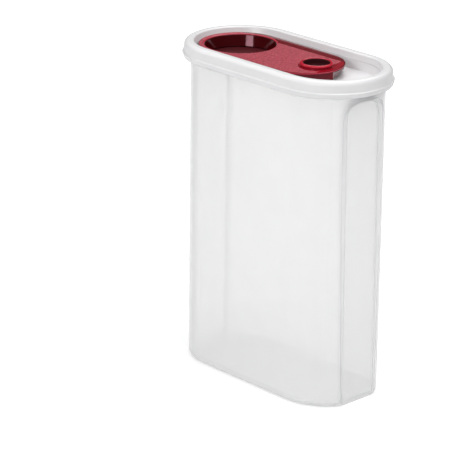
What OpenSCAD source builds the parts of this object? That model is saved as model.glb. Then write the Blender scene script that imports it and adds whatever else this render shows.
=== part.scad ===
// Cereal container with a press-on lid and a flip-up pouring cap.
// Millimetres, +Z up. The origin is the middle of the flat base.
// X runs along the long side: the pouring end is -X and the hinge end is +X.

/* [Part] */
// Piece to build

/* [Container] */
// Half distance between the centres of the two rounded ends
end_centre = 50.1; // [50:0.1:60]
// Outside radius of the rounded ends of the container
body_r = 43.1; // [42.9:0.1:43.4]
// Height of the container's rim above the table
rim_top = 272.2; // [180:0.2:320]
// Thickness of the container's wall
body_wall = 1.6; // [1.4:0.1:1.8]
// Thickness of the container's floor
floor_t = 2; // [1.6:0.1:4]
// Outside rounding where the floor meets the wall
base_round = 4; // [3:0.1:8]

/* [Rim flange] */
// Thickness of the stiffening flange under the rim
flange_t = 1.6; // [1:0.1:2.4]
// Drop from the rim to the top of the flange
flange_drop = 8.2; // [5:0.1:9]
// How far the flange stands out past the container's wall
flange_out = 3.8; // [3.2:0.1:4.4]

/* [Grip panels] */
// How far the flat border lies in from the rounded end
panel_depth = 4.6; // [3.6:0.1:4.8]
// How much deeper the panel at the hinge end lies at its top than at its foot
panel_lean = 2.9; // [1:0.1:3.2]
// Extra depth of the middle field of the panel
field_depth = 0.8; // [0.4:0.1:1]
// Half width of the middle field
field_half = 17.5; // [12:0.5:18]
// Corner rounding at the top of the middle field
field_round = 11; // [4:0.5:12]
// Gap between the flange and the top of the panel
panel_below_flange = 7.9; // [5.6:0.1:20]
// Height of the border above the middle field
border_high = 3.2; // [3:0.1:12]
// Width of the border beside the middle field
border_wide = 5; // [4.5:0.5:6]

/* [Lid] */
// Thickness of the lid's plastic
lid_wall = 1.3; // [1.3:0.05:1.5]
// Height of the skirt below the top of the lid
skirt_h = 13.4; // [12:0.1:16]
// Radius of the roll where the band meets the lid's top
roll_round = 4; // [3:0.1:5]
// How far the foot of the band stands out past its head
band_lean = 0.4; // [0.1:0.1:0.8]
// How far the turned-out lip stands out past the band
lip_out = 1.4; // [1:0.1:2]
// How far the foot of the lip draws back in
lip_back = 1.2; // [0.6:0.1:1.3]
// Height of the turned-out lip
lip_h = 3.7; // [2.5:0.1:5]
// Height of the slope on top of the lip
lip_slope = 1; // [0.6:0.1:1.6]
// Depth of the recess in the lid's top
recess_depth = 13.5; // [13.4:0.05:13.8]
// Rounding of the inner edge of the lid's rim
inner_round = 1.6; // [1.5:0.05:1.6]
// Depth below the lid's top at which the recess wall steps in
crease_depth = 5.4; // [4.8:0.1:6.5]
// How far the recess wall leans in above the step
upper_lean = 1.1; // [0.6:0.1:1.2]
// Width of the step in the recess wall
crease_step = 0.3; // [0.2:0.05:0.35]
// How far the recess wall leans in below the step
lower_lean = 0.4; // [0.2:0.05:0.45]
// Rounding where the recess wall meets the lid's floor
floor_round = 1; // [0.6:0.1:1]
// Depth of the round collar below the lid's floor
collar_depth = 8; // [6:0.1:14]
// Thickness of the collar
collar_wall = 1; // [0.8:0.1:1.1]

/* [Flip cap] */
// Outside radius of the wide end, which is centred on the well
wide_r = 33.9; // [33.5:0.1:34]
// Distance from the centre of the wide end to the centre of the narrow end
cap_run = 74.1; // [73.6:0.1:74.6]
// Outside radius of the narrow end
narrow_r = 32.3; // [32.2:0.05:32.35]
// Height of the cap from its lower edge to its top face
cap_h = 7.5; // [7.3:0.1:7.8]
// Gap between the cap's lower edge and the lid's floor
cap_lift = 2; // [1.9:0.05:2.2]
// Thickness of the cap's top plate
plate_t = 1.4; // [1.2:0.05:1.4]
// Thickness of the cap's side wall
cap_wall = 1; // [0.8:0.05:1]

/* [Nose] */
// Distance from the centre of the narrow end to the sharp prow under it
nose_out = 31.7; // [31.6:0.05:31.8]
// How far each side of the nose runs back for each millimetre sideways
nose_lean = 0.55; // [0.5:0.01:0.58]

/* [Well] */
// Inside radius of the well at its mouth
well_mouth_r = 29.3; // [28.9:0.1:29.4]
// How far the well draws in from its mouth to its floor
well_lean = 0.6; // [0.5:0.1:1]
// Depth of the well
well_depth = 11.5; // [9:0.1:13]
// Thickness of the well's wall and floor
well_wall = 1.4; // [1:0.1:1.4]
// Rounding of the well's mouth and of its floor corner
well_round = 1.2; // [0.6:0.1:1.3]
// How far the plug under the well draws in towards its foot
plug_lean = 0.3; // [0.1:0.05:0.35]

/* [Thumb ring] */
// Distance from the centre of the narrow end to the middle of the thumb ring
ring_out = 13.45; // [13:0.05:13.5]
// Radius of the ring's hole
ring_hole_r = 10.4; // [9:0.1:10.5]
// Radius of the rolled edge of the ring
roll_edge = 1.5; // [1.2:0.1:1.7]
// Height of the ring above the cap's top
ring_h = 3.2; // [2.8:0.1:3.6]
// Thickness of the ring's neck and of the thumb cup
neck_t = 1.2; // [1:0.1:1.3]
// Width of the low band around the ring's foot
band_w = 1.2; // [0.8:0.1:1.6]
// Height of the low band around the ring's foot
band_h = 0.9; // [0.5:0.1:1.2]
// Depth of the thumb cup below the cap's top
cup_depth = 1.9; // [1.4:0.1:1.9]
// Thickness of the thumb cup's floor
cup_floor = 1; // [0.8:0.1:1]
// Rounding of the thumb cup's floor corner
cup_round = 1.5; // [0.6:0.1:2]

/* [Hinge] */
// Distance from the prow back to the hinge axis
hinge_in = 3.9; // [3.85:0.05:3.95]
// Height of the hinge axis above the lid's floor
hinge_up = 5.6; // [5.6:0.05:5.7]
// Radius of the cap's hinge bar
bar_r = 1; // [0.8:0.05:1]
// Width of the clip along the hinge
clip_w = 2.2; // [1.6:0.1:2.2]
// Thickness of the clip around the bar
clip_wall = 0.75; // [0.6:0.05:0.8]
// Distance from the hinge axis back to the clip's arm
arm_front = 4.2; // [4:0.1:4.6]
// Distance from the hinge axis to the back of the clip's arm
arm_back = 8; // [7:0.1:10]
// Height of the top of the clip's arm above the hinge axis
arm_top = 0.6; // [0.3:0.05:0.6]

/* [Fits] */
// Gap between the lid's recess wall and the container's rim
plug_gap = 0.3; // [0.3:0.01:0.32]
// Gap between the rim's flange and the lid's skirt
skirt_gap = 0.3; // [0.3:0.05:0.6]
// Gap between the cap's wide end and the foot of the recess wall
end_gap = 0.4; // [0.3:0.05:0.6]
// Gap between the cap's well and the lid's collar
collar_gap = 0.35; // [0.3:0.05:0.5]
// Running gap between the hinge bar and its clips
bar_gap = 0.05; // [0.02:0.01:0.08]
// How much narrower than the bar the mouth of each clip is
clip_snap = 0.3; // [0.1:0.05:0.5]

/* [Hidden] */
$fn = 96;
// overlap that joins neighbouring shapes of one piece
bite = 0.2;
// how far a shape that only cuts runs past the plastic
over = 10;

// container
body_in_r = body_r - body_wall;
end_x = end_centre + body_r;
flange_top = rim_top - flange_drop;
flange_r = body_r + flange_out;
border_x = end_x - panel_depth;
field_x = border_x - field_depth;
border_top = flange_top - flange_t - panel_below_flange;
border_half = field_half + border_wide;
border_round = field_round + border_wide;
field_top = border_top - border_high;
lean_angle = atan(panel_lean / border_top);

// lid
lid_top = rim_top + lid_wall;
skirt_foot = lid_top - skirt_h;
band_r = flange_r + skirt_gap + lid_wall;
roll_z = lid_top - roll_round;
roll_r = band_r - roll_round;
rim_wall_r = body_in_r - plug_gap - lid_wall;
inner_r = rim_wall_r + inner_round;
inner_z = lid_top - inner_round;
crease_z = lid_top - crease_depth;
crease_r = rim_wall_r - upper_lean;
foot_r = crease_r - crease_step - lower_lean;
recess_floor = lid_top - recess_depth;
corner_r = foot_r - floor_round;
corner_z = recess_floor + floor_round;
lip_top = skirt_foot + lip_h;

// cap
wide_x = wide_r + end_gap - end_centre - foot_r;
narrow_x = wide_x + cap_run;
nose_x = narrow_x + nose_out;
ring_x = narrow_x + ring_out;
cap_foot = recess_floor + cap_lift;
cap_top = cap_foot + cap_h;
plate_under = cap_top - plate_t;
side_lean = (wide_r - narrow_r) / (narrow_x - wide_x);
side_cos = sqrt(1 - side_lean * side_lean);
side_dip = 0.02;
well_floor = cap_top - well_depth;
well_foot = well_floor - well_wall;
well_floor_r = well_mouth_r - well_lean;
plug_r = well_floor_r + well_wall;
collar_r = plug_r + plug_lean + collar_gap;
nose_cos = 1 / sqrt(1 + nose_lean * nose_lean);

// hinge
hinge_x = nose_x - hinge_in;
hinge_z = recess_floor + hinge_up;
clip_r = bar_r + bar_gap + clip_wall;
clip_mouth = 2 * bar_r - clip_snap;
neck_low = 0.8;

// ---- shared shapes ---------------------------------------------------------

// Carries a profile, radius across and height up, round the long rounded
// outline: a half turn at each end and a straight side between them.
module around() {
    for (end = [0, 1]) {
        mirror([end, 0, 0])
            translate([end_centre, 0, 0])
                rotate([0, 0, -90])
                    rotate_extrude(angle = 180)
                        children();
    }
    for (side = [0, 1]) {
        mirror([0, side, 0])
            translate([-end_centre, 0, 0])
                rotate([90, 0, 90])
                    linear_extrude(2 * end_centre)
                        children();
    }
}

// A quarter of a ring in a profile. across and up are 1 or -1 and say
// which quarter is kept.
module quarter_ring(outer, inner, across, up) {
    intersection() {
        difference() {
            circle(r = outer);
            circle(r = inner);
        }
        translate([across > 0 ? 0 : -over, up > 0 ? 0 : -over])
            square(over);
    }
}

// Half profile of a vessel with a rounded foot.
module vessel_profile(radius, rounding, foot, top) {
    translate([0, foot])
        square([radius - rounding, top - foot]);
    translate([0, foot + rounding])
        square([radius, top - foot - rounding]);
    translate([radius - rounding, foot + rounding])
        intersection() {
            circle(r = rounding);
            translate([0, -rounding])
                square(rounding);
        }
}

// ---- container body --------------------------------------------------------

// Outline of a grip panel seen from the end: tall, with a rounded head.
module panel_outline(half, top, rounding) {
    translate([-half, -over])
        square([2 * half, top - rounding + over]);
    translate([rounding - half, -over])
        square([2 * (half - rounding), top + over]);
    for (side = [-1, 1]) {
        translate([side * (half - rounding), top - rounding])
            circle(r = rounding);
    }
}

// A block outside the plane x = from, with the outline of a grip panel.
// It leans in by an angle towards its top.
module panel_block(from, half, top, rounding, lean) {
    translate([from, 0, 0])
        rotate([0, -lean, 0])
            rotate([90, 0, 90])
                linear_extrude(over)
                    panel_outline(half, top, rounding);
}

// The flat border and the deeper middle field, at both ends. Only the hinge
// end leans in: the pouring end keeps room for the lid's collar.
module grip_panels() {
    for (end = [0, 1]) {
        mirror([end, 0, 0]) {
            panel_block(border_x, border_half, border_top, border_round, (1 - end) * lean_angle);
            panel_block(field_x, field_half, field_top, field_round, (1 - end) * lean_angle);
        }
    }
}

// The inside, which keeps one wall thickness behind the grip panels.
module body_hollow() {
    difference() {
        around()
            vessel_profile(body_in_r, base_round - body_wall, floor_t, rim_top + over);
        for (end = [0, 1]) {
            mirror([end, 0, 0])
                panel_block(field_x - body_wall, border_half + body_wall,
                    border_top + body_wall, border_round + body_wall, (1 - end) * lean_angle);
        }
    }
}

module container_body() {
    color([0.93, 0.94, 0.95])
        difference() {
            union() {
                around()
                    vessel_profile(body_r, base_round, 0, rim_top);
                around()
                    translate([body_in_r + bite, flange_top - flange_t])
                        square([flange_r - body_in_r - bite, flange_t]);
            }
            body_hollow();
            grip_panels();
        }
}

// ---- lid -------------------------------------------------------------------

// Skirt with its turned-out lip, from the foot up to the roll.
module skirt_profile() {
    polygon([
        [band_r - lid_wall, skirt_foot],
        [band_r + lip_out - lip_back, skirt_foot],
        [band_r + lip_out, lip_top],
        [band_r + band_lean, lip_top + lip_slope],
        [band_r, roll_z],
        [band_r - lid_wall, roll_z]
    ]);
}

// Wall of the recess, from the inner edge of the rim down to the floor.
module recess_profile() {
    polygon([
        [rim_wall_r, inner_z],
        [crease_r, crease_z],
        [crease_r - crease_step, crease_z],
        [foot_r, corner_z],
        [foot_r + lid_wall, corner_z],
        [crease_r + lid_wall, crease_z],
        [rim_wall_r + lid_wall, inner_z]
    ]);
}

module lid_profile() {
    skirt_profile();
    translate([roll_r, roll_z])
        quarter_ring(roll_round, roll_round - lid_wall, 1, 1);
    translate([inner_r, rim_top])
        square([roll_r - inner_r, lid_wall]);
    translate([inner_r, inner_z])
        quarter_ring(inner_round, inner_round - lid_wall, -1, 1);
    recess_profile();
    translate([corner_r, corner_z])
        quarter_ring(floor_round + lid_wall, floor_round, 1, -1);
    translate([0, recess_floor - lid_wall])
        square([corner_r, lid_wall]);
}

// Clip that holds the cap's bar: an eye open at the top, on an arm that
// stands behind it, so that the cap's nose can swing under the bar.
module hinge_clip() {
    difference() {
        union() {
            circle(r = clip_r);
            translate([-arm_front - bite, -neck_low])
                square([arm_front + bite, neck_low + arm_top]);
            translate([-arm_back, -hinge_up - bite])
                square([arm_back - arm_front, hinge_up + bite + arm_top]);
        }
        circle(r = bar_r + bar_gap);
        translate([-clip_mouth / 2, 0])
            square([clip_mouth, clip_r + over]);
    }
}

module lid() {
    color([0.96, 0.96, 0.97]) {
        difference() {
            union() {
                around()
                    lid_profile();
                translate([wide_x, 0, recess_floor - collar_depth])
                    cylinder(r = collar_r + collar_wall, h = collar_depth);
            }
            translate([wide_x, 0, recess_floor - collar_depth - over])
                cylinder(r = collar_r, h = collar_depth + 2 * over);
        }
        translate([hinge_x, clip_w / 2, hinge_z])
            rotate([90, 0, 0])
                linear_extrude(clip_w)
                    hinge_clip();
    }
}

// ---- flip cap --------------------------------------------------------------

// Plan of the cap, drawn in by an even amount: a wide round end, a narrow
// round end, and two straight sides that run a hair inside both circles.
module cap_plan(inward) {
    wide = wide_r - inward;
    narrow = narrow_r - inward;
    wide_side = wide - side_dip;
    narrow_side = narrow - side_dip;
    translate([wide_x, 0])
        circle(r = wide);
    translate([narrow_x, 0])
        circle(r = narrow);
    polygon([
        [wide_x + wide_side * side_lean, -wide_side * side_cos],
        [narrow_x + narrow_side * side_lean, -narrow_side * side_cos],
        [narrow_x + narrow_side * side_lean, narrow_side * side_cos],
        [wide_x + wide_side * side_lean, wide_side * side_cos]
    ]);
}

// What is taken from under the narrow end, so that the wall below the plate
// comes to a prow and the plate stands out over it as a rounded tip.
module nose_waste(inward) {
    prow = nose_x - inward / nose_cos;
    wing = wide_r + over;
    translate([0, 0, cap_foot - 2 * over])
        linear_extrude(plate_under - cap_foot + 2 * over)
            polygon([
                [prow, 0],
                [prow - wing * nose_lean, wing],
                [nose_x + over, wing],
                [nose_x + over, -wing],
                [prow - wing * nose_lean, -wing]
            ]);
}

// Solid form of the cap's tray, drawn in by an even amount.
module cap_block(inward, foot, top) {
    difference() {
        translate([0, 0, foot])
            linear_extrude(top - foot)
                cap_plan(inward);
        nose_waste(inward);
    }
}

// Plug below the tray: the outside of the well, drawn in towards its foot
// so that it leaves the lid's collar freely as the cap swings up.
module plug() {
    plug_round = well_round + well_wall;
    rotate_extrude() {
        translate([0, well_foot])
            square([plug_r - plug_round, plug_round]);
        translate([plug_r - plug_round, well_foot + plug_round])
            intersection() {
                circle(r = plug_round);
                translate([0, -plug_round])
                    square(plug_round);
            }
        polygon([
            [0, well_foot + plug_round],
            [plug_r, well_foot + plug_round],
            [plug_r + plug_lean, cap_foot],
            [plug_r + plug_lean, cap_foot + bite],
            [0, cap_foot + bite]
        ]);
    }
}

// Inside of the well, with a rounded floor corner and a rounded mouth.
module well() {
    rotate_extrude() {
        translate([0, well_floor])
            square([well_floor_r - well_round, well_round]);
        translate([well_floor_r - well_round, well_floor + well_round])
            intersection() {
                circle(r = well_round);
                translate([0, -well_round])
                    square(well_round);
            }
        polygon([
            [0, well_floor + well_round],
            [well_floor_r, well_floor + well_round],
            [well_mouth_r, cap_top - well_round],
            [0, cap_top - well_round]
        ]);
        difference() {
            translate([0, cap_top - well_round])
                square([well_mouth_r + well_round, well_round + over]);
            translate([well_mouth_r + well_round, cap_top - well_round])
                circle(r = well_round);
        }
    }
}

// Raised ring: a rolled edge on a narrow neck, with a low band at its foot.
module thumb_ring() {
    roll_mid = ring_hole_r + roll_edge;
    rotate_extrude() {
        translate([roll_mid, cap_top + ring_h - roll_edge])
            circle(r = roll_edge);
        translate([ring_hole_r, cap_top - bite])
            square([neck_t, ring_h - roll_edge + bite]);
        translate([ring_hole_r + bite, cap_top - bite])
            square([neck_t + band_w - bite, band_h + bite]);
    }
}

// Outside of the shallow cup that the ring's hole runs down into.
module thumb_cup() {
    translate([0, 0, cap_top - cup_depth - cup_floor])
        cylinder(r = ring_hole_r + neck_t, h = cup_depth + cup_floor - bite);
}

// The hole of the ring, with a rounded floor corner.
module thumb_hole() {
    floor_z = cap_top - cup_depth;
    rotate_extrude() {
        translate([0, floor_z])
            square([ring_hole_r - cup_round, cup_round]);
        translate([ring_hole_r - cup_round, floor_z + cup_round])
            intersection() {
                circle(r = cup_round);
                translate([0, -cup_round])
                    square(cup_round);
            }
        translate([0, floor_z + cup_round])
            square([ring_hole_r, over]);
    }
}

module flip_cap() {
    color([0.42, 0.01, 0.05])
        difference() {
            union() {
                cap_block(0, cap_foot, cap_top);
                translate([wide_x, 0, 0])
                    plug();
                translate([ring_x, 0, 0])
                    thumb_ring();
            }
            difference() {
                cap_block(cap_wall, cap_foot - over, plate_under);
                translate([wide_x, 0, cap_foot - 2 * over])
                    cylinder(r = well_mouth_r + well_wall, h = 4 * over);
                translate([ring_x, 0, 0])
                    thumb_cup();
                translate([hinge_x, 0, hinge_z])
                    rotate([90, 0, 0])
                        cylinder(r = bar_r, h = 3 * narrow_r, center = true);
            }
            translate([wide_x, 0, 0])
                well();
            translate([ring_x, 0, 0])
                thumb_hole();
        }
}

container_body();
lid();
flip_cap();
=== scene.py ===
# %% [markdown]
# # A cereal container with a flip-up pouring cap
# The container is three mouldings: a frosted see-through vessel, a white press-on
# lid and a wine-red cap that swings up. Their shapes come from the CAD frame, in
# metres, with the base on z = 0, so this lesson is about light and surface: how a
# few procedural materials turn exact solids into moulded plastic.

import bpy
import math
from mathutils import Matrix, Vector


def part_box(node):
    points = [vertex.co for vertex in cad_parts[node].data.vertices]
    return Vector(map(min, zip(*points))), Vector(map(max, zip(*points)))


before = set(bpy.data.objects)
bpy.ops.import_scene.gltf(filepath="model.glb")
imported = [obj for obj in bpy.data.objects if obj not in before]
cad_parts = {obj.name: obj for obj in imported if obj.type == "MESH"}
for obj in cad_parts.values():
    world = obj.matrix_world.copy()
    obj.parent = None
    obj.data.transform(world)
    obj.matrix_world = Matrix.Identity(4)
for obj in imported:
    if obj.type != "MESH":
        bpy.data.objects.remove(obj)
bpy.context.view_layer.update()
print("nodes:", sorted(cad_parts))

# %% [markdown]
# ## The camera
# A product shot is taken from far away with a long lens, so that upright edges
# stay nearly parallel. We give the camera by what a photographer would note:
# how far round it stands, how high it looks from, where the eye is, and a small
# roll. The lens follows from the focal length in picture widths.

# %% Place the camera
FRAME_PX = 450
FOCAL_PX = 2459.0
AZIMUTH = 0.8196
ELEVATION = 0.3443
ROLL = 0.0107
EYE = Vector((1.34911, -1.32530, 0.80443))


def camera_axes(azimuth, elevation, roll):
    """Right, up and back directions of a camera that looks at the object."""
    back = Vector((
        math.sin(azimuth) * math.cos(elevation),
        -math.cos(azimuth) * math.cos(elevation),
        math.sin(elevation),
    ))
    level = Vector((math.cos(azimuth), math.sin(azimuth), 0.0))
    above = back.cross(level)
    right = level * math.cos(roll) + above * math.sin(roll)
    up = above * math.cos(roll) - level * math.sin(roll)
    return right, up, back


right, up, back = camera_axes(AZIMUTH, ELEVATION, ROLL)
camera_data = bpy.data.cameras.new("camera")
camera_data.sensor_width = 36.0
camera_data.lens = 36.0 * FOCAL_PX / FRAME_PX
camera_data.clip_end = 50.0
camera = bpy.data.objects.new("camera", camera_data)
bpy.context.scene.collection.objects.link(camera)
turn = Matrix((right, up, back)).transposed().to_4x4()
camera.matrix_world = Matrix.Translation(EYE) @ turn
bpy.context.scene.camera = camera
print("camera at", [round(v, 3) for v in EYE], "lens", round(camera_data.lens, 1), "mm")

# %% [markdown]
# ## Shader maths as plain expressions
# A node tree is a formula drawn as boxes. One small class lets us write the
# formula instead: it wraps a socket, and each operator adds the Math node that
# does it. The reflected forms let a plain number stand on the left, so that
# `1 - mask` works too.


# %% A value in a node tree
class Value:
    """A socket that can be added, subtracted, multiplied, raised and compared."""

    def __init__(self, tree, socket):
        self.tree = tree
        self.socket = socket

    def __add__(self, other):
        return self.tree.maths("ADD", self, other)

    def __radd__(self, other):
        return self.tree.maths("ADD", other, self)

    def __sub__(self, other):
        return self.tree.maths("SUBTRACT", self, other)

    def __rsub__(self, other):
        return self.tree.maths("SUBTRACT", other, self)

    def __mul__(self, other):
        return self.tree.maths("MULTIPLY", self, other)

    def __rmul__(self, other):
        return self.tree.maths("MULTIPLY", other, self)

    def __pow__(self, other):
        return self.tree.maths("POWER", self, other)

    def __gt__(self, other):
        return self.tree.maths("GREATER_THAN", self, other)


# %% [markdown]
# ## One method for every other node
# `node` takes the node's type, its settings (set first, because some of them
# change which sockets there are), and what goes into its sockets: a number, a
# colour, or another value. It returns the wanted output as a `Value`.


# %% A finish is a material with a few handy methods
class Finish:
    """A material whose nodes are added one by one."""

    def __init__(self, name):
        self.material = bpy.data.materials.new(name)
        self.material.use_nodes = True
        self.nodes = self.material.node_tree.nodes
        self.links = self.material.node_tree.links
        self.nodes.clear()

    def node(self, kind, settings=None, sockets=None, output=0):
        made = self.nodes.new(kind)
        for key, setting in (settings or {}).items():
            setattr(made, key, setting)
        for key, entry in (sockets or {}).items():
            if isinstance(entry, Value):
                self.links.new(entry.socket, made.inputs[key])
            else:
                made.inputs[key].default_value = entry
        return Value(self, made.outputs[output])

    def maths(self, operation, first, second):
        return self.node("ShaderNodeMath", {"operation": operation}, {0: first, 1: second})

    def position(self):
        """Where the surface is on its own piece, in metres: x, y and z."""
        place = self.node("ShaderNodeTexCoord", output="Object")
        parts = []
        for axis in ("X", "Y", "Z"):
            parts.append(self.node("ShaderNodeSeparateXYZ", {}, {0: place}, output=axis))
        return place, parts

    def size(self, value):
        """The value without its sign."""
        return self.maths("MAXIMUM", value, value * -1.0)

    def noise(self, place, scale, detail, roughness):
        wanted = {"Vector": place, "Scale": scale, "Detail": detail, "Roughness": roughness}
        return self.node("ShaderNodeTexNoise", {"noise_dimensions": "3D"}, wanted)

    def steps(self, value, low, high):
        """0 below low, 1 above high, and a smooth climb between."""
        settings = {"interpolation_type": "SMOOTHSTEP", "clamp": True}
        limits = {"Value": value, "From Min": low, "From Max": high}
        return self.node("ShaderNodeMapRange", settings, limits)

    def blend(self, factor, first, second):
        """Goes from the first colour to the second as factor rises to 1."""
        sockets = {0: factor, 6: first, 7: second}
        return self.node("ShaderNodeMix", {"data_type": "RGBA"}, sockets, output=2)

    def finish(self, shader):
        surface = self.nodes.new("ShaderNodeOutputMaterial").inputs["Surface"]
        self.links.new(shader.socket, surface)
        print("finish", self.material.name, "has", len(self.nodes), "nodes")
        return self.material


# %% [markdown]
# ## Frosted see-through plastic
# The vessel is natural polypropylene, 1.6 mm thick: milky, so that it scatters
# most light, but you can make out the far wall through it. Real volume
# scattering is slow and noisy. A see-through share on a white matt surface gives
# the same read, because four surfaces lie one behind the other: each adds its
# milk, and edges behind show faintly. The moulding isn't perfectly even, so a
# slow noise varies the milk, and a finer one breaks up the gloss.

# %% How far a point lies outside a rounded arch
def outside_arch(finish, across, up, half, top, rounding):
    """Metres outside an upright arch with rounded shoulders; less than 0 inside."""
    sideways = finish.maths("MAXIMUM", finish.size(across) - (half - rounding), 0.0)
    upwards = finish.maths("MAXIMUM", up - (top - rounding), 0.0)
    return (sideways * sideways + upwards * upwards) ** 0.5 - rounding


# %% [markdown]
# ## The edges of the grip panels
# Each end of the vessel has a flat panel with a rounded head, and a deeper field
# inside it. Their edges are real steps in the solid, but thin steps in pale
# see-through plastic almost vanish, so the finish draws them a little darker.
# This is a shading aid. It uses the solid's own sizes, so that a line lies where
# the outside has an edge: `plane_depth` is above 0 only where the flat panel
# lies inside the round end, and only the +X panel leans. The masks don't tell
# the two skins of the wall apart, so the inside, one wall behind, is marked too.

# %% Find the edges of the grip panels
FIELD = {"half": 0.0175, "top": 0.2513, "rounding": 0.011}
BORDER = {"half": 0.0225, "top": 0.2545, "rounding": 0.016}
END_X, END_R = 0.0501, 0.0431
PANEL_X = 0.0886
PANEL_LEAN = 0.0029 / BORDER["top"]
EDGE_LINE = (0.0002, 0.0006)
milk = Finish("frosted_plastic_finish")
body_place, (body_x, body_y, body_z) = milk.position()
out_x = milk.size(body_x)
at_end = milk.steps(out_x, 0.080, 0.082)
from_field = outside_arch(milk, body_y, body_z, **FIELD)
from_border = outside_arch(milk, body_y, body_z, **BORDER)
round_off = END_R - ((out_x - END_X) ** 2.0 + body_y * body_y) ** 0.5
panel_now = PANEL_X - PANEL_LEAN * body_z * (body_x > 0.0)
flat_off = milk.size(panel_now - out_x)
plane_depth = END_R - ((panel_now - END_X) ** 2.0 + body_y * body_y) ** 0.5
near_both = 1 - milk.steps(round_off + flat_off, 0.0001, 0.00035)
side_line = near_both * (1 - milk.steps(from_border, 0.0004, 0.0010))
head_line = (1 - milk.steps(milk.size(from_border), *EDGE_LINE)) * milk.steps(plane_depth, 0.0, 0.0004)
field_line = 1 - milk.steps(milk.size(from_field), *EDGE_LINE)
lines = at_end * milk.maths("MAXIMUM", milk.maths("MAXIMUM", side_line, head_line), 0.8 * field_line)
in_border = milk.steps(from_field, 0.0004, 0.0010) * milk.steps(round_off, 0.0002, 0.0006)
# painted highlight: the border band between the panel's two edges is coloured lighter and made more
# solid
border_highlight = in_border * (1 - milk.steps(from_border, -0.0008, -0.0002))
print("panel edges", FIELD["half"] * 1000, "and", BORDER["half"] * 1000, "mm to each side")

# %% [markdown]
# ## The milky mix
# The solid share is how much of a wall you see and how much you see through. It
# rises where you look along the wall, as it does in real frosted plastic, and in
# the thick foot. Light for shadows passes more easily than sight does, so the
# inside stays bright. The far wall is not blurred, as real frosting would do. The
# border band of each grip panel is coloured lighter and made more solid: a
# painted highlight.

# %% Make the frosted finish
CLEAR_SHARE = 0.30
cloud = milk.noise(body_place, 14.0, 3.0, 0.5)
grain = milk.noise(body_place, 900.0, 2.0, 0.6)
flow = milk.noise(body_place, 60.0, 2.0, 0.5)
slope = milk.steps(from_field, -0.0014, 0.0006)
thick_foot = 1 - milk.steps(body_z, 0.0015, 0.006)
milk_share = CLEAR_SHARE + 0.05 * (cloud - 0.5) + 0.15 * thick_foot + 0.22 * lines + 0.20 * at_end * border_highlight
turned = milk.node("ShaderNodeLayerWeight", {}, {"Blend": 0.35}, output="Facing")
solid_share = milk_share + 0.45 * turned ** 3.0
shadow_ray = milk.node("ShaderNodeLightPath", output="Is Shadow Ray")
opacity = solid_share * (1 - 0.65 * shadow_ray * (1 - thick_foot))
clear_colour = milk.blend(cloud, (0.925, 0.925, 0.93, 1.0), (0.945, 0.945, 0.95, 1.0))
# painted highlight: the border band takes a lighter milk
border_highlit = milk.blend(at_end * border_highlight, clear_colour, (0.97, 0.97, 0.975, 1.0))
frost_colour = milk.blend(lines * 0.6, border_highlit, (0.52, 0.53, 0.56, 1.0))
frost_bump = milk.node("ShaderNodeBump", {}, {
    "Strength": 0.6, "Distance": 0.0006, "Height": 0.8 * at_end * slope + 0.004 * flow + 0.004 * grain,
})
frost = milk.node("ShaderNodeBsdfPrincipled", {}, {
    "Base Color": frost_colour,
    "Roughness": 0.28 + 0.10 * grain,
    "Alpha": opacity,
    "Normal": frost_bump,
    "IOR": 1.45,
    "Specular IOR Level": 0.35,
})
frost_material = milk.finish(frost)

# %% [markdown]
# ## White lid plastic
# The lid is a dense glossy white. Straight from the mould it has a faint orange
# peel that softens reflections, and over the years its outside edges turn a
# little duller where hands and the dishwasher reach. A bevel node rounds the
# look of the moulded edges without touching the mesh. A darker line is drawn
# along the lid's foot and along the step in the recess, where a real lid has a
# narrow shadow gap: that too is a shading aid.

# %% Make the white finish
SKIRT_FOOT, BAND_TOP = 0.2590, 0.2715
RECESS_R = 0.0420
white = Finish("white_plastic_finish")
lid_place, (lid_x, lid_y, lid_z) = white.position()
peel = white.noise(lid_place, 420.0, 2.0, 0.5)
patches = white.noise(lid_place, 30.0, 3.0, 0.55)
fine = white.noise(lid_place, 2600.0, 1.0, 0.5)
outside = white.steps(lid_z, SKIRT_FOOT, 0.2660) * (1 - white.steps(lid_z, BAND_TOP, 0.2735))
rounded = white.node("ShaderNodeBevel", {"samples": 4}, {"Radius": 0.0004})
white_bump = white.node("ShaderNodeBump", {}, {
    "Strength": 0.05, "Distance": 0.0001, "Height": peel + 0.15 * fine, "Normal": rounded,
})
past_end = white.maths("MAXIMUM", white.size(lid_x) - END_X, 0.0)
from_spine = (past_end * past_end + lid_y * lid_y) ** 0.5
in_recess = 1 - white.steps(from_spine, RECESS_R, RECESS_R + 0.0008)
foot_line = (1 - in_recess) * (1 - white.steps(lid_z, 0.2602, 0.2607))
step_line = in_recess * (white.steps(lid_z, 0.2677, 0.2679) - white.steps(lid_z, 0.2682, 0.2684))
plain_white = white.blend(patches, (0.855, 0.85, 0.86, 1.0), (0.875, 0.87, 0.88, 1.0))
lid_colour = white.blend(0.45 * (foot_line + step_line), plain_white, (0.50, 0.49, 0.52, 1.0))
lid_shader = white.node("ShaderNodeBsdfPrincipled", {}, {
    "Base Color": lid_colour,
    "Roughness": 0.15 + 0.03 * patches + 0.10 * outside,
    "Normal": white_bump,
    "IOR": 1.50,
    "Specular IOR Level": 0.5,
})
lid_material = white.finish(lid_shader)

# %% [markdown]
# ## Wine-red cap plastic
# The cap has two finishes in one moulding. Its flat top is spark-eroded: a fine
# matt grain with scattered specks that hides scratches. The well, the ring, the
# side wall and the tip past the ring are polished. The well and the side wall are
# also coloured much darker than the top: that is painted shade. One mask keeps
# the grain on the top face: the height of the surface, the way it faces, and the
# distance from well and ring.

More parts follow.
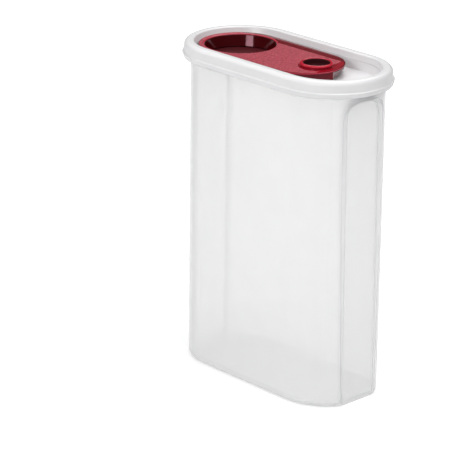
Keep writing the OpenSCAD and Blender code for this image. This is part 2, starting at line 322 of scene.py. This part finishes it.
# %% Measure where the grain lies
WELL_X, WELL_R = -0.0539, 0.0306
RING_X, RING_R = 0.03365, 0.0146
NARROW_X, NARROW_R = 0.0202, 0.0323
WIDE_X, WIDE_R = -0.0539, 0.0339
CAP_TOP = 0.2695
WELL_FLOOR = 0.2580
red = Finish("red_plastic_finish")
cap_place, (cap_x, cap_y, cap_z) = red.position()
facing = red.node("ShaderNodeTexCoord", output="Normal")
upward = red.node("ShaderNodeSeparateXYZ", {}, {0: facing}, output="Z")


def distance_from(finish, x, y, centre_x):
    along = x - centre_x
    return (along * along + y * y) ** 0.5


from_well = distance_from(red, cap_x, cap_y, WELL_X)
from_ring = distance_from(red, cap_x, cap_y, RING_X)
from_narrow = distance_from(red, cap_x, cap_y, NARROW_X)
narrowing = (WIDE_R - NARROW_R) / (NARROW_X - WIDE_X)
side_edge = WIDE_R - (cap_x - WIDE_X) * narrowing - red.size(cap_y)
past_narrow = red.steps(cap_x, NARROW_X - 0.0010, NARROW_X + 0.0010)
to_edge = (NARROW_R - from_narrow) * past_narrow + side_edge * (1 - past_narrow)
on_top = red.steps(cap_z, CAP_TOP - 0.0002, CAP_TOP - 0.0001) * red.steps(upward, 0.8, 0.95)
off_well = red.steps(from_well, WELL_R, WELL_R + 0.0006)
off_ring = red.steps(from_ring, RING_R, RING_R + 0.0008)
smooth_tip = red.steps(cap_x + 0.25 * cap_y, 0.0420, 0.0450)
# a band along the far side is left polished, and its darker colour is a painted dark reflection
far_polish_and_reflection = red.steps(cap_y, 0.0225, 0.0245)
off_edge = red.steps(to_edge, 0.0010, 0.0022)
grained = on_top * off_well * off_ring * (1 - smooth_tip) * (1 - far_polish_and_reflection) * off_edge
# painted shade along the top's edges, plus the far band's painted dark reflection, both in the side's
# deep red
rim_shade_and_reflection = on_top * red.maths("MAXIMUM", 0.8 * far_polish_and_reflection, 1 - red.steps(to_edge, 0.0006, 0.0016))
print("grain keeps", WELL_R * 1000, "mm from the well and", RING_R * 1000, "mm from the ring")

# %% [markdown]
# ## The polished and the deep parts
# What isn't grained is polished, and much of its colour is painted light. The
# well and the thumb cup lie deep and get little light, so they are coloured dark
# as painted shade, and so is the groove beside the ring's rolled edge. The rolled
# edge itself is coloured lighter, a painted highlight, and thin bright lines run
# along the plate's edges and the well's lip, painted highlights where a moulding
# catches the light. Each gets a mask made from the height and from the distance
# to the well and the ring.

# %% Sort the polished parts from the deep ones
HOLE_R, GROOVE_R = 0.0107, 0.0122
below = 1 - red.steps(cap_z, CAP_TOP - 0.0010, CAP_TOP - 0.0004)
in_well = below * (1 - red.steps(from_well, WELL_R - 0.0012, WELL_R - 0.0004))
on_floor = in_well * (1 - red.steps(cap_z, WELL_FLOOR + 0.0004, WELL_FLOOR + 0.0012))
in_hole = 1 - red.steps(from_ring, HOLE_R, HOLE_R + 0.0005)
deep = red.maths("MAXIMUM", in_well, in_hole)
unlit = red.maths("MAXIMUM", on_floor, in_hole)
on_ring = red.steps(cap_z, CAP_TOP + 0.0002, CAP_TOP + 0.0004)
on_roll = red.steps(cap_z, CAP_TOP + 0.0014, CAP_TOP + 0.0020)
in_groove = on_ring * (1 - on_roll) * (1 - red.steps(from_ring, GROOVE_R, GROOVE_R + 0.0004))
past_wall = red.steps(from_well, WELL_R - 0.0012, WELL_R - 0.0008)
before_plate = 1 - red.steps(from_well, WELL_R - 0.0001, WELL_R + 0.0002)
on_lip = past_wall * before_plate
plate_rim = red.steps(cap_z, CAP_TOP - 0.0009, CAP_TOP - 0.0006) * (1 - red.steps(upward, 0.3, 0.6))
clear_of_ring = red.steps(from_ring, RING_R, RING_R + 0.0005)
clear_of_well = red.steps(from_well, WELL_R, WELL_R + 0.0005)
outer_edge = plate_rim * clear_of_ring * clear_of_well
# painted highlight: thin bright lines along the well's lip and the plate's outer edge
edge_highlight = 0.8 * red.maths("MAXIMUM", on_lip * (1 - below), outer_edge)
print("polished below", (CAP_TOP - 0.0004) * 1000, "mm, well floor at", WELL_FLOOR * 1000, "mm")

# %% [markdown]
# ## The reds
# A single red would look painted. The matt grain is lighter and has pale and
# dark specks from two cell textures, and a slow noise shifts every red a little.
# The side wall, the well, the thumb cup and the groove are coloured deeper as
# painted shade, and the ring's roll and the plate's edges lighter as painted
# highlights. The colours are blended from the least to the most special place,
# so the grain, which has the sharpest mask, comes last.

# %% Mix the reds
dots = red.node("ShaderNodeTexVoronoi", {"feature": "F1"}, {"Vector": cap_place, "Scale": 300.0})
sparks = red.node("ShaderNodeTexVoronoi", {"feature": "F1"}, {"Vector": cap_place, "Scale": 380.0})
speck_noise = red.noise(cap_place, 700.0, 3.0, 0.7)
mottle = red.noise(cap_place, 45.0, 3.0, 0.6)
tooth = red.noise(cap_place, 3200.0, 2.0, 0.7)
dark_dots = 1 - red.steps(dots, 0.18, 0.32)
light_dots = (1 - red.steps(sparks, 0.16, 0.32)) * (1 - dark_dots)
specks = red.steps(speck_noise, 0.52, 0.66)
smooth_colour = red.blend(mottle, (0.300, 0.0060, 0.0170, 1.0), (0.350, 0.0080, 0.0210, 1.0))
# painted shade: the side walls take a much darker copy of the polished red
side_shade_red = red.blend(mottle, (0.120, 0.0010, 0.0040, 1.0), (0.140, 0.0012, 0.0050, 1.0))
# painted shade for the well, the thumb cup and the groove by the ring
deep_shade_red = red.blend(mottle, (0.050, 0.0001, 0.0008, 1.0), (0.062, 0.0002, 0.0011, 1.0))
matt_colour = red.blend(mottle, (0.30, 0.009, 0.025, 1.0), (0.36, 0.013, 0.033, 1.0))
lit_colour = red.blend(specks * 0.35 + light_dots * 0.50, matt_colour, (0.62, 0.130, 0.170, 1.0))
dot_colour = red.blend(dark_dots * 0.9, lit_colour, (0.11, 0.001, 0.005, 1.0))
# painted shade: the sides and the top's darkened rim take the side's deep red
top_or_side = red.blend(red.maths("MAXIMUM", below, rim_shade_and_reflection), smooth_colour, side_shade_red)
# painted shade in the groove beside the ring's roll
groove_shaded = red.blend(in_groove, top_or_side, deep_shade_red)
# painted highlight: the ring's rolled edge is coloured brighter
roll_highlit = red.blend(on_roll, groove_shaded, (0.52, 0.012, 0.032, 1.0))
# painted highlight along the plate's edges and the well's lip
edge_highlit = red.blend(edge_highlight, roll_highlit, (0.55, 0.050, 0.085, 1.0))
# painted shade, darkest in the thumb cup
well_and_hole_shade = red.blend(in_hole, deep_shade_red, (0.030, 0.0001, 0.0004, 1.0))
polished_colour = red.blend(deep, edge_highlit, well_and_hole_shade)
cap_colour = red.blend(grained, polished_colour, dot_colour)
print("reds mixed into", len(red.nodes), "nodes so far")

# %% [markdown]
# ## The light in the well
# The solid's well wall leans by only 0.6 mm. How far a real one flares isn't
# known. A bump whose height grows towards the floor tilts the shading much more
# than that, so that the wall mirrors the key soft box as one bright window: this
# is fitted for the look, and no shape comes from it. The plastic is stained right
# through, so its reflections take some of the red: that is the specular tint.
# The floors of the holes are left matt.

# %% Make the red finish
WELL_FLARE = 0.29
soft_edge = red.node("ShaderNodeBevel", {"samples": 4}, {"Radius": 0.0005})
flare = red.node("ShaderNodeBump", {}, {
    "Strength": 1.0,
    "Distance": 1.0,
    "Height": (CAP_TOP - cap_z) * WELL_FLARE * (in_well * (1 - on_floor)),
    "Normal": soft_edge,
})
cap_bump = red.node("ShaderNodeBump", {}, {
    "Strength": 0.35,
    "Distance": 0.0002,
    "Height": grained * (0.6 * speck_noise + 0.4 * tooth + 1.2 * light_dots - 1.2 * dark_dots),
    "Normal": flare,
})
cap_shader = red.node("ShaderNodeBsdfPrincipled", {}, {
    "Base Color": cap_colour,
    "Roughness": 0.07 + 0.04 * mottle + 0.43 * grained + 0.80 * unlit,
    "Normal": cap_bump,
    "IOR": 1.50,
    "Specular IOR Level": 0.5,
    "Specular Tint": (1.0, 0.52, 0.62, 1.0),
})
cap_material = red.finish(cap_shader)

# %% [markdown]
# ## Dress the solids
# The CAD pieces keep their meshes. Each gets its finish in its own material
# slots.

# %% Give each piece its finish
FINISHES = {
    "container_body": frost_material,
    "lid": lid_material,
    "flip_cap": cap_material,
}
for name, material in FINISHES.items():
    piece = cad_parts[name]
    for slot in piece.material_slots:
        slot.material = material
    low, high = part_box(name)
    print(name, "is", [round((b - a) * 1000, 1) for a, b in zip(low, high)], "mm")

# %% [markdown]
# ## Floor and surroundings
# A white sweep is the plainest studio: the object stands on white and has white
# behind it. The floor is a matt white sheet that lifts itself to full white only
# for the camera, so that the soft shadow under the container stays. Far from the
# object it lifts itself more, where a real sweep would be lit by itself.


# %% Lay the floor
def make_floor(half, z):
    corners = [(-half, -half, z), (half, -half, z), (half, half, z), (-half, half, z)]
    mesh = bpy.data.meshes.new("floor")
    mesh.from_pydata(corners, [], [(0, 1, 2, 3)])
    made = bpy.data.objects.new("floor", mesh)
    bpy.context.scene.collection.objects.link(made)
    return made


FLOOR_LIFT = 0.22
FAR_LIFT = 0.50
paper = Finish("white_sweep")
floor_place, (floor_x, floor_y, _) = paper.position()
fibre = paper.noise(floor_place, 300.0, 2.0, 0.5)
camera_ray = paper.node("ShaderNodeLightPath", output="Is Camera Ray")
from_middle = (floor_x * floor_x + floor_y * floor_y) ** 0.5
far_away = paper.steps(from_middle, 0.12, 1.20)
lift = paper.blend(far_away, (FLOOR_LIFT,) * 3 + (1.0,), (FAR_LIFT,) * 3 + (1.0,))
paper_shader = paper.node("ShaderNodeBsdfPrincipled", {}, {
    "Base Color": paper.blend(fibre, (0.835, 0.835, 0.835, 1.0), (0.845, 0.845, 0.845, 1.0)),
    "Roughness": 0.7 + 0.05 * fibre,
    "Specular IOR Level": 0.1,
    "Emission Color": paper.blend(camera_ray, (0.0, 0.0, 0.0, 1.0), lift),
    "Emission Strength": 1.0,
})
floor = make_floor(6.0, -0.0002)
floor.data.materials.append(paper.finish(paper_shader))

# %% [markdown]
# ## The surroundings
# The world is two things at once. The eye sees plain white, and so do rays that
# pass through plastic. Everything else is lit by a sky that is dark near the
# horizon and bright overhead: the dark part is what the polished red mirrors, so
# the well and the side stay deep. The height is cubed, which keeps it dark low
# down and lets it rise fast.

# %% Light the surroundings
SKY_LOW = 0.06
SKY_RISE = 1.05
world = bpy.data.worlds.new("white_room")
world.use_nodes = True
bpy.context.scene.world = world
world_nodes = world.node_tree.nodes
world_links = world.node_tree.links
world_nodes.clear()


def world_node(kind, wires=None, numbers=None, operation=None):
    """Adds one world node, wires it up and sets its numbers."""
    made = world_nodes.new(kind)
    if operation is not None:
        made.operation = operation
    for key, wire in (wires or {}).items():
        world_links.new(wire, made.inputs[key])
    for key, number in (numbers or {}).items():
        made.inputs[key].default_value = number
    return made


direction = world_node("ShaderNodeTexCoord").outputs["Generated"]
height = world_node("ShaderNodeSeparateXYZ", {0: direction}).outputs["Z"]
above = world_node("ShaderNodeMath", {0: height}, {1: 0.0}, "MAXIMUM").outputs[0]
squared = world_node("ShaderNodeMath", {0: above, 1: above}, None, "MULTIPLY").outputs[0]
cubed = world_node("ShaderNodeMath", {0: squared, 1: above}, None, "MULTIPLY").outputs[0]
level = world_node("ShaderNodeMath", {0: cubed}, {1: SKY_RISE, 2: SKY_LOW}, "MULTIPLY_ADD").outputs[0]
path = world_node("ShaderNodeLightPath")
white_for = {0: path.outputs["Is Camera Ray"], 1: path.outputs["Is Transmission Ray"]}
shown = world_node("ShaderNodeMath", white_for, None, "MAXIMUM").outputs[0]
sky = world_node("ShaderNodeBackground", {"Strength": level}, {"Color": (1.0, 1.0, 1.0, 1.0)})
seen = world_node("ShaderNodeBackground", None, {"Color": (1.0, 1.0, 1.0, 1.0), "Strength": 1.0})
mixed = {0: shown, 1: sky.outputs[0], 2: seen.outputs[0]}
choose = world_node("ShaderNodeMixShader", mixed)
world_node("ShaderNodeOutputWorld", {"Surface": choose.outputs[0]})
print("sky level from", SKY_LOW, "to", SKY_LOW + SKY_RISE)

# %% [markdown]
# ## Soft boxes
# Four soft boxes model the forms that the sky alone would leave flat. The key
# stands low before the long side, and its shape is what shows as a window in the
# polished well. A large one hangs overhead: large, so that its mirror image on
# the lid's rolled edge stays soft, and high, so that the well mirrors only the
# key. Two weaker ones keep the left end and the back from going grey. How bright
# each must be was solved from one picture per lamp, because light simply adds up.


# %% Hang the soft boxes
def soft_box(name, place, aim, size, power):
    lamp = bpy.data.lights.new(name, "AREA")
    lamp.shape = "RECTANGLE"
    lamp.size = size[0]
    lamp.size_y = size[1]
    lamp.energy = power
    made = bpy.data.objects.new(name, lamp)
    bpy.context.scene.collection.objects.link(made)
    away = Vector(place) - Vector(aim)
    made.matrix_world = Matrix.Translation(place) @ away.to_track_quat("Z", "Y").to_matrix().to_4x4()
    return made


soft_box("key_box", (0.55, -2.05, 0.98), (0.0, 0.0, 0.20), (0.9, 0.53), 12.5)
soft_box("top_box", (0.95, 0.10, 2.25), (0.0, 0.0, 0.20), (2.4, 2.0), 25.5)
soft_box("left_box", (-1.70, -1.30, 1.70), (0.0, 0.0, 0.20), (1.0, 0.9), 9.5)
soft_box("back_box", (-1.25, 1.50, 2.10), (0.0, 0.0, 0.20), (1.2, 1.0), 16.0)

# %% [markdown]
# ## Finish
# The colours are shown as they are, with no film look on top.

# %% Set the view
bpy.context.scene.view_settings.view_transform = "Standard"
